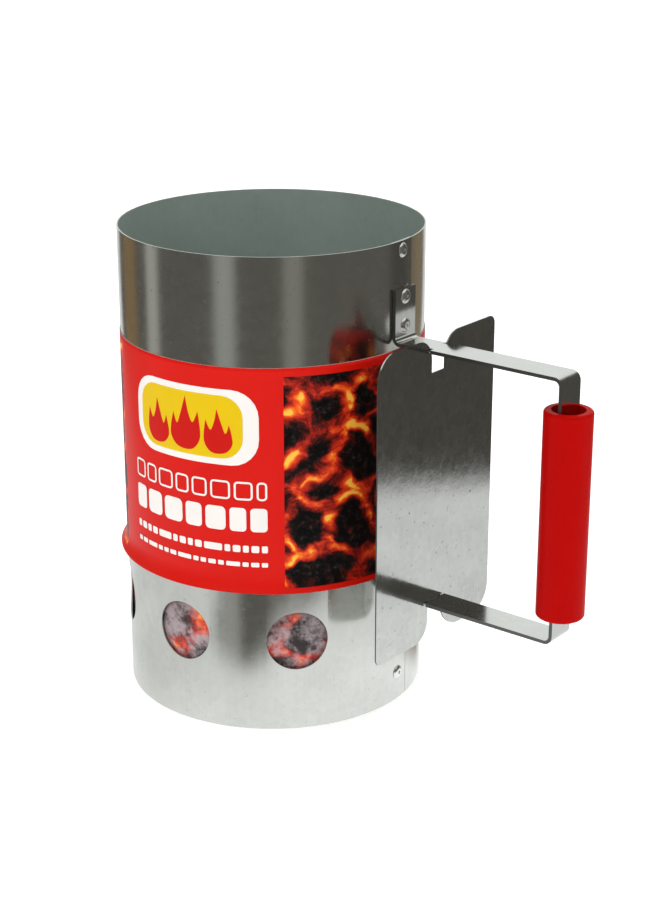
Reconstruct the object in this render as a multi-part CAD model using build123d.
from build123d import *
import math
import os

# A chimney charcoal starter: a galvanised steel tube that charcoal is lit in, with a side handle.
# Frame: origin at the centre of the foot circle, +Z up along the tube, +X out through the handle.
# Every length is in millimetres and every angle in degrees.

# Body
BODY_DIAMETER = 170.0
BODY_HEIGHT = 268.3
SHEET = 0.8
SEAM_HALF_WIDTH = 9.0          # the two ends of the rolled sheet overlap this far each side of the seam line
SEAM_GROOVE = 0.4              # hairline that the outer sheet end leaves in the surface

# Vents
VENT_DIAMETER = 34.0
VENT_HEIGHT = 53.0
VENT_COUNT = 8                 # places round the body; the one at the seam is left blank
VENT_TURN = 3.0                # the vents are punched this far round from +X

# Label sleeve
LABEL_BOTTOM = 83.0
LABEL_TOP = 209.7
LABEL_THICKNESS = 0.5
LABEL_FIT = 0.05               # gap between the sleeve and the body
LABEL_CURL_HEIGHT = 12.0       # the bottom edge curls outward over this height
LABEL_CURL_OUT = 4.2

# Handle strap
STRAP_WIDTH = 17.8
STRAP_THICKNESS = 2.0
STRAP_REACH = 191.0            # axis of the body to the outer face of the upright run
STRAP_OFFSET = 6.5             # the handle sits this far to the +Y side of the body's axis
UPPER_ARM_TOP = 214.5
LOWER_ARM_BOTTOM = 67.2
FLANGE_LENGTH = 28.5
FLANGE_FIT = 0.05
FLANGE_BEND = 3.5              # centreline radius of the two bends at the body
CORNER_BEND = 4.0              # centreline radius of the two bends at the grip
NOTCH_LENGTH = 2.2             # the arms are notched from both edges where the shield crosses them

# Heat shield
SHIELD_DISTANCE = 108.7        # axis of the body to the middle of the plate
SHIELD_THICKNESS = 0.8
SHIELD_WIDTH = 106.6
SHIELD_BOTTOM = 46.6
SHIELD_TOP = 220.6
SLOT_WIDTH = 12.0
SLOT_MOUTH_RADIUS = 12.0
FAR_MOUTH_RADIUS = 19.0        # the bottom slot's mouth is eased more on the +Y side
TOP_SLOT_END = 201.2
BOTTOM_SLOT_END = 69.5
LARGE_CORNER = 15.0
SMALL_CORNER = 5.0
NOTCH_PLAY = 0.3               # gap between a notched arm and the sides of the slot

# Grip
GRIP_DIAMETER = 25.9
GRIP_BORE = 18.1
GRIP_BOTTOM = 81.8
GRIP_LENGTH = 114.2
GRIP_EDGE = 1.6

# Blind rivets
RIVET_HEAD_RADIUS = 4.0
BRACKET_RIVET_HEAD_RADIUS = 3.6
RIVET_HEAD_HEIGHT = 1.3
RIVET_SHANK_RADIUS = 1.6
RIVET_HOLE_RADIUS = 1.65
RIVET_TAIL_RADIUS = 2.4
RIVET_TAIL_LENGTH = 2.4
RIVET_CORE_RADIUS = 1.0        # the hole that the pulled stem leaves in the head
RIVET_CORE_DEPTH = 1.0
RIVET_GAP = 0.1                # keeps a flat rivet face clear of the curved sheet
OFFSET_RIVET_GAP = 0.6         # the same, inside the wall, for the flange rivets beside the axis
TOP_SEAM_RIVET_DROP = 5.2
BOTTOM_SEAM_RIVET_HEIGHT = 16.5
FLANGE_RIVET_NEAR = 8.0        # arm face to the nearer flange rivet
FLANGE_RIVET_FAR = 23.8        # arm face to the farther flange rivet

# Grate and its brackets
BRACKET_COUNT = 4
BRACKET_FIRST_ANGLE = 45.0
BRACKET_WIDTH = 12.0
BRACKET_THICKNESS = 1.2
BRACKET_BOTTOM = 80.0
BRACKET_HEIGHT = 12.0
BRACKET_SHELF = 12.0
BRACKET_RIVET_HEIGHT = 85.6
BRACKET_FIT = 0.25             # keeps a flat bracket leg clear of the curved wall
GRATE_RING_RADIUS = 76.5
GRATE_RING_WIRE = 4.0
GRATE_BAR_WIRE = 3.0
GRATE_BAR_COUNT = 7
GRATE_BAR_PITCH = 19.0
GRATE_CROSS_OFFSET = 25.0
GRATE_REST_GAP = 0.3
WELD_SINK = 0.2                # crossing wires sink this far into each other at a weld

# Worked out from the sizes above
BODY_RADIUS = BODY_DIAMETER / 2
INNER_RADIUS = BODY_RADIUS - SHEET
SEAM_INNER_RADIUS = BODY_RADIUS - 2 * SHEET
FLANGE_FACE = BODY_RADIUS + FLANGE_FIT
UPPER_ARM_MID = UPPER_ARM_TOP - STRAP_THICKNESS / 2
LOWER_ARM_MID = LOWER_ARM_BOTTOM + STRAP_THICKNESS / 2
GRIP_AXIS = STRAP_REACH - STRAP_THICKNESS / 2
SEAM_ANGLE = math.degrees(math.asin(STRAP_OFFSET / BODY_RADIUS))
NECK_WIDTH = SLOT_WIDTH - 2 * NOTCH_PLAY
UPPER_FLANGE_RIVETS = [UPPER_ARM_TOP + FLANGE_RIVET_NEAR, UPPER_ARM_TOP + FLANGE_RIVET_FAR]
LOWER_FLANGE_RIVETS = [LOWER_ARM_BOTTOM - FLANGE_RIVET_NEAR, LOWER_ARM_BOTTOM - FLANGE_RIVET_FAR]
TOP_SEAM_RIVET = BODY_HEIGHT - TOP_SEAM_RIVET_DROP
BRACKET_FACE = INNER_RADIUS - BRACKET_FIT
BRACKET_ANGLES = [BRACKET_FIRST_ANGLE + i * 360 / BRACKET_COUNT for i in range(BRACKET_COUNT)]
GRATE_RING_MID = BRACKET_BOTTOM + BRACKET_THICKNESS + GRATE_REST_GAP + GRATE_RING_WIRE / 2
GRATE_BAR_MID = GRATE_RING_MID + (GRATE_RING_WIRE + GRATE_BAR_WIRE) / 2 - WELD_SINK


def radial_cylinder(radius, length, start, height, angle=0.0):
    """A round bar that points away from the body's axis, from `start` outward."""
    bar = Pos(start, 0, height) * Rot(0, 90, 0) * Cylinder(
        radius, length, align=(Align.CENTER, Align.CENTER, Align.MIN))
    return Rot(0, 0, angle) * bar


def body_shell():
    """The rolled sheet: a plain tube, doubled on the inside along the seam, with vents and rivet holes."""
    tube = Circle(BODY_RADIUS) - Circle(INNER_RADIUS)
    at_seam = Rot(0, 0, SEAM_ANGLE)
    doubled = (Circle(INNER_RADIUS) - Circle(SEAM_INNER_RADIUS)) & (
        at_seam * Pos(BODY_RADIUS, 0) * Rectangle(4 * SEAM_HALF_WIDTH, 2 * SEAM_HALF_WIDTH))
    groove = at_seam * Pos(BODY_RADIUS, SEAM_HALF_WIDTH) * Rectangle(2 * SHEET, SEAM_GROOVE)
    shell = extrude(tube + doubled - groove, BODY_HEIGHT)
    for place in range(1, VENT_COUNT):
        angle = VENT_TURN + place * 360 / VENT_COUNT
        shell -= radial_cylinder(VENT_DIAMETER / 2, 8 * SHEET, BODY_RADIUS - 4 * SHEET, VENT_HEIGHT, angle)
    for height in (TOP_SEAM_RIVET, BOTTOM_SEAM_RIVET_HEIGHT):
        shell -= radial_cylinder(RIVET_HOLE_RADIUS, 8 * SHEET, BODY_RADIUS - 4 * SHEET, height, SEAM_ANGLE)
    for height in UPPER_FLANGE_RIVETS + LOWER_FLANGE_RIVETS:
        hole = radial_cylinder(RIVET_HOLE_RADIUS, 8 * SHEET, BODY_RADIUS - 4 * SHEET, height)
        shell -= Pos(0, STRAP_OFFSET, 0) * hole
    for angle in BRACKET_ANGLES:
        shell -= radial_cylinder(
            RIVET_HOLE_RADIUS, 8 * SHEET, BODY_RADIUS - 4 * SHEET, BRACKET_RIVET_HEIGHT, angle)
    return shell


def label_sleeve():
    """The card sleeve: straight for most of its height, curled outward along an arc at the bottom."""
    inner = BODY_RADIUS + LABEL_FIT
    outer = inner + LABEL_THICKNESS
    curl_top = LABEL_BOTTOM + LABEL_CURL_HEIGHT
    curl_radius = (LABEL_CURL_HEIGHT**2 + LABEL_CURL_OUT**2) / (2 * LABEL_CURL_OUT)
    centre = (outer + curl_radius - LABEL_THICKNESS, curl_top)
    sweep = math.degrees(math.asin(LABEL_CURL_HEIGHT / curl_radius))
    inside_arc = CenterArc(centre, curl_radius, 180, sweep)
    outside_arc = CenterArc(centre, curl_radius - LABEL_THICKNESS, 180, sweep)
    outline = Wire([
        inside_arc,
        Line(inside_arc @ 1, outside_arc @ 1),
        outside_arc,
        Line(outside_arc @ 0, (outer, LABEL_TOP)),
        Line((outer, LABEL_TOP), (inner, LABEL_TOP)),
        Line((inner, LABEL_TOP), inside_arc @ 0),
    ])
    return revolve(Plane.XZ * make_face(outline), Axis.Z)


def strap_route():
    """The strap's centreline, from the top of the upper flange to the foot of the lower one."""
    flange = FLANGE_FACE + STRAP_THICKNESS / 2
    points = [
        (flange, 0, UPPER_ARM_TOP + FLANGE_LENGTH),
        (flange, 0, UPPER_ARM_MID),
        (GRIP_AXIS, 0, UPPER_ARM_MID),
        (GRIP_AXIS, 0, LOWER_ARM_MID),
        (flange, 0, LOWER_ARM_MID),
        (flange, 0, LOWER_ARM_BOTTOM - FLANGE_LENGTH),
    ]
    return FilletPolyline(points, radius=[FLANGE_BEND, CORNER_BEND, CORNER_BEND, FLANGE_BEND])


def handle_strap():
    """One flat bar, bent four times, notched at the shield and drilled at the flanges."""
    route = strap_route()
    start = Plane(origin=route @ 0, x_dir=(0, 1, 0), z_dir=route % 0)
    strap = sweep(start * Rectangle(STRAP_WIDTH, STRAP_THICKNESS), path=route)
    notch_depth = (STRAP_WIDTH - NECK_WIDTH) / 2
    for side in (-1, 1):
        for height in (UPPER_ARM_MID, LOWER_ARM_MID):
            y = side * (NECK_WIDTH / 2 + notch_depth)
            strap -= Pos(SHIELD_DISTANCE, y, height) * Box(NOTCH_LENGTH, 2 * notch_depth, 3 * STRAP_THICKNESS)
    for height in UPPER_FLANGE_RIVETS + LOWER_FLANGE_RIVETS:
        strap -= radial_cylinder(
            RIVET_HOLE_RADIUS, 3 * STRAP_THICKNESS, BODY_RADIUS - STRAP_THICKNESS, height)
    return Pos(0, STRAP_OFFSET, 0) * strap


def heat_shield():
    """A flat plate, slotted from the top and the bottom edge, with two large and two small corners."""
    height = SHIELD_TOP - SHIELD_BOTTOM
    plate = Pos(0, SHIELD_BOTTOM + height / 2) * Rectangle(SHIELD_WIDTH, height)
    top_slot = Pos(0, SHIELD_TOP) * Rectangle(SLOT_WIDTH, 2 * (SHIELD_TOP - TOP_SLOT_END))
    bottom_slot = Pos(0, SHIELD_BOTTOM) * Rectangle(SLOT_WIDTH, 2 * (BOTTOM_SLOT_END - SHIELD_BOTTOM))
    plate = plate - top_slot - bottom_slot

    def corners(x, y):
        return [v for v in plate.vertices() if abs(v.X - x) < 0.01 and abs(v.Y - y) < 0.01]

    half = SHIELD_WIDTH / 2
    plate = fillet(corners(-half, SHIELD_TOP) + corners(half, SHIELD_BOTTOM), LARGE_CORNER)
    plate = fillet(corners(half, SHIELD_TOP) + corners(-half, SHIELD_BOTTOM), SMALL_CORNER)
    slot_edge = SLOT_WIDTH / 2
    top_mouth = corners(-slot_edge, SHIELD_TOP) + corners(slot_edge, SHIELD_TOP)
    plate = fillet(top_mouth + corners(-slot_edge, SHIELD_BOTTOM), SLOT_MOUTH_RADIUS)
    plate = fillet(corners(slot_edge, SHIELD_BOTTOM), FAR_MOUTH_RADIUS)
    upright = Plane(origin=(SHIELD_DISTANCE, STRAP_OFFSET, 0), x_dir=(0, 1, 0), z_dir=(1, 0, 0))
    return extrude(upright * plate, SHIELD_THICKNESS / 2, both=True)


def hand_grip():
    """A round tube with softened ends."""
    profile = Pos((GRIP_DIAMETER + GRIP_BORE) / 4, 0) * Rectangle(
        (GRIP_DIAMETER - GRIP_BORE) / 2, GRIP_LENGTH)
    profile = fillet(profile.vertices().sort_by(Axis.X)[2:], GRIP_EDGE)
    tube = revolve(Plane.XZ * profile, Axis.Z)
    return Pos(GRIP_AXIS, STRAP_OFFSET, GRIP_BOTTOM + GRIP_LENGTH / 2) * tube


def blind_rivet(head_face, tail_face, height, head_radius=RIVET_HEAD_RADIUS, angle=0.0):
    """A pulled rivet: domed hollow head on `head_face`, shank, and a bulged tail inside `tail_face`."""
    dome = ThreePointArc(
        (head_face, head_radius),
        (head_face + 0.75 * RIVET_HEAD_HEIGHT, 0.72 * head_radius),
        (head_face + RIVET_HEAD_HEIGHT, RIVET_CORE_RADIUS))
    core_floor = head_face + RIVET_HEAD_HEIGHT - RIVET_CORE_DEPTH
    bulge = ThreePointArc(
        (tail_face - RIVET_TAIL_LENGTH, 0.5 * RIVET_TAIL_RADIUS),
        (tail_face - 0.6 * RIVET_TAIL_LENGTH, RIVET_TAIL_RADIUS),
        (tail_face, RIVET_SHANK_RADIUS + 0.3))
    outline = Wire([
        Line((core_floor, 0), (core_floor, RIVET_CORE_RADIUS)),
        Line((core_floor, RIVET_CORE_RADIUS), dome @ 1),
        dome,
        Line(dome @ 0, (head_face, RIVET_SHANK_RADIUS)),
        Line((head_face, RIVET_SHANK_RADIUS), (tail_face, RIVET_SHANK_RADIUS)),
        Line((tail_face, RIVET_SHANK_RADIUS), bulge @ 1),
        bulge,
        Line(bulge @ 0, (tail_face - RIVET_TAIL_LENGTH, 0)),
        Line((tail_face - RIVET_TAIL_LENGTH, 0), (core_floor, 0)),
    ])
    rivet = revolve(make_face(outline), Axis.X)
    return Rot(0, 0, angle) * Pos(0, 0, height) * rivet


def seam_rivet(height):
    """A rivet straight through the doubled seam."""
    return blind_rivet(BODY_RADIUS + RIVET_GAP / 2, SEAM_INNER_RADIUS - RIVET_GAP, height, angle=SEAM_ANGLE)


def flange_rivet(height):
    """A rivet through a strap flange and the doubled seam."""
    rivet = blind_rivet(FLANGE_FACE + STRAP_THICKNESS, SEAM_INNER_RADIUS - OFFSET_RIVET_GAP, height)
    return Pos(0, STRAP_OFFSET, 0) * rivet


def bracket_rivet(angle):
    """A rivet through the wall and a grate bracket."""
    tail_face = BRACKET_FACE - BRACKET_THICKNESS
    head_face = BODY_RADIUS + RIVET_GAP / 2
    return blind_rivet(head_face, tail_face, BRACKET_RIVET_HEIGHT, BRACKET_RIVET_HEAD_RADIUS, angle)


def grate_bracket(angle):
    """A bent tab: one leg on the wall, the other a shelf that the grate lies on."""
    leg = Pos(BRACKET_FACE, 0, BRACKET_BOTTOM) * Box(
        BRACKET_THICKNESS, BRACKET_WIDTH, BRACKET_HEIGHT, align=(Align.MAX, Align.CENTER, Align.MIN))
    shelf = Pos(BRACKET_FACE, 0, BRACKET_BOTTOM) * Box(
        BRACKET_SHELF, BRACKET_WIDTH, BRACKET_THICKNESS, align=(Align.MAX, Align.CENTER, Align.MIN))
    bracket = leg + shelf
    tip_edges = bracket.edges().filter_by(Axis.Z).sort_by(Axis.X)[:2]
    bracket = fillet(tip_edges, BRACKET_WIDTH / 4)
    bend_edge = bracket.edges().filter_by(Axis.Y).sort_by(Axis.Z)[:2].sort_by(Axis.X)[-1]
    bracket = fillet(bend_edge, BRACKET_THICKNESS * 0.9)
    bracket -= radial_cylinder(
        RIVET_HOLE_RADIUS, 4 * BRACKET_THICKNESS, BRACKET_FACE - 2 * BRACKET_THICKNESS, BRACKET_RIVET_HEIGHT)
    return Rot(0, 0, angle) * bracket


def grate_ring():
    """The round wire that closes the grate."""
    return Pos(0, 0, GRATE_RING_MID) * Torus(GRATE_RING_RADIUS, GRATE_RING_WIRE / 2)


def grate_bar(x):
    """A straight wire across the top of the ring, cut where it meets the ring's outside."""
    reach = math.sqrt(GRATE_RING_RADIUS**2 - x**2) + GRATE_RING_WIRE / 4
    return Pos(x, 0, GRATE_BAR_MID) * Rot(90, 0, 0) * Cylinder(GRATE_BAR_WIRE / 2, 2 * reach)


def grate_cross_wire(y):
    """A wire inside the ring, under the bars."""
    reach = math.sqrt((GRATE_RING_RADIUS - GRATE_RING_WIRE / 2 + WELD_SINK)**2 - y**2)
    return Pos(0, y, GRATE_RING_MID) * Rot(0, 90, 0) * Cylinder(GRATE_RING_WIRE / 2, 2 * reach)


def all_parts():
    """Every node's name and its solid."""
    parts = {
        "body_shell": body_shell(),
        "label_sleeve": label_sleeve(),
        "handle_strap": handle_strap(),
        "heat_shield": heat_shield(),
        "hand_grip": hand_grip(),
        "top_seam_rivet": seam_rivet(TOP_SEAM_RIVET),
        "bottom_seam_rivet": seam_rivet(BOTTOM_SEAM_RIVET_HEIGHT),
        "upper_strap_rivet_low": flange_rivet(UPPER_FLANGE_RIVETS[0]),
        "upper_strap_rivet_high": flange_rivet(UPPER_FLANGE_RIVETS[1]),
        "lower_strap_rivet_high": flange_rivet(LOWER_FLANGE_RIVETS[0]),
        "lower_strap_rivet_low": flange_rivet(LOWER_FLANGE_RIVETS[1]),
        "grate_ring": grate_ring(),
    }
    for number, angle in enumerate(BRACKET_ANGLES, 1):
        parts[f"grate_bracket_{number}"] = grate_bracket(angle)
        parts[f"bracket_rivet_{number}"] = bracket_rivet(angle)
    for number in range(1, GRATE_BAR_COUNT + 1):
        x = (number - (GRATE_BAR_COUNT + 1) / 2) * GRATE_BAR_PITCH
        parts[f"grate_bar_{number}"] = grate_bar(x)
    for number, side in enumerate((-1, 1), 1):
        parts[f"grate_cross_wire_{number}"] = grate_cross_wire(side * GRATE_CROSS_OFFSET)
    return parts


os.makedirs("parts", exist_ok=True)
for name, part in all_parts().items():
    export_step(part, f"parts/{name}.step")
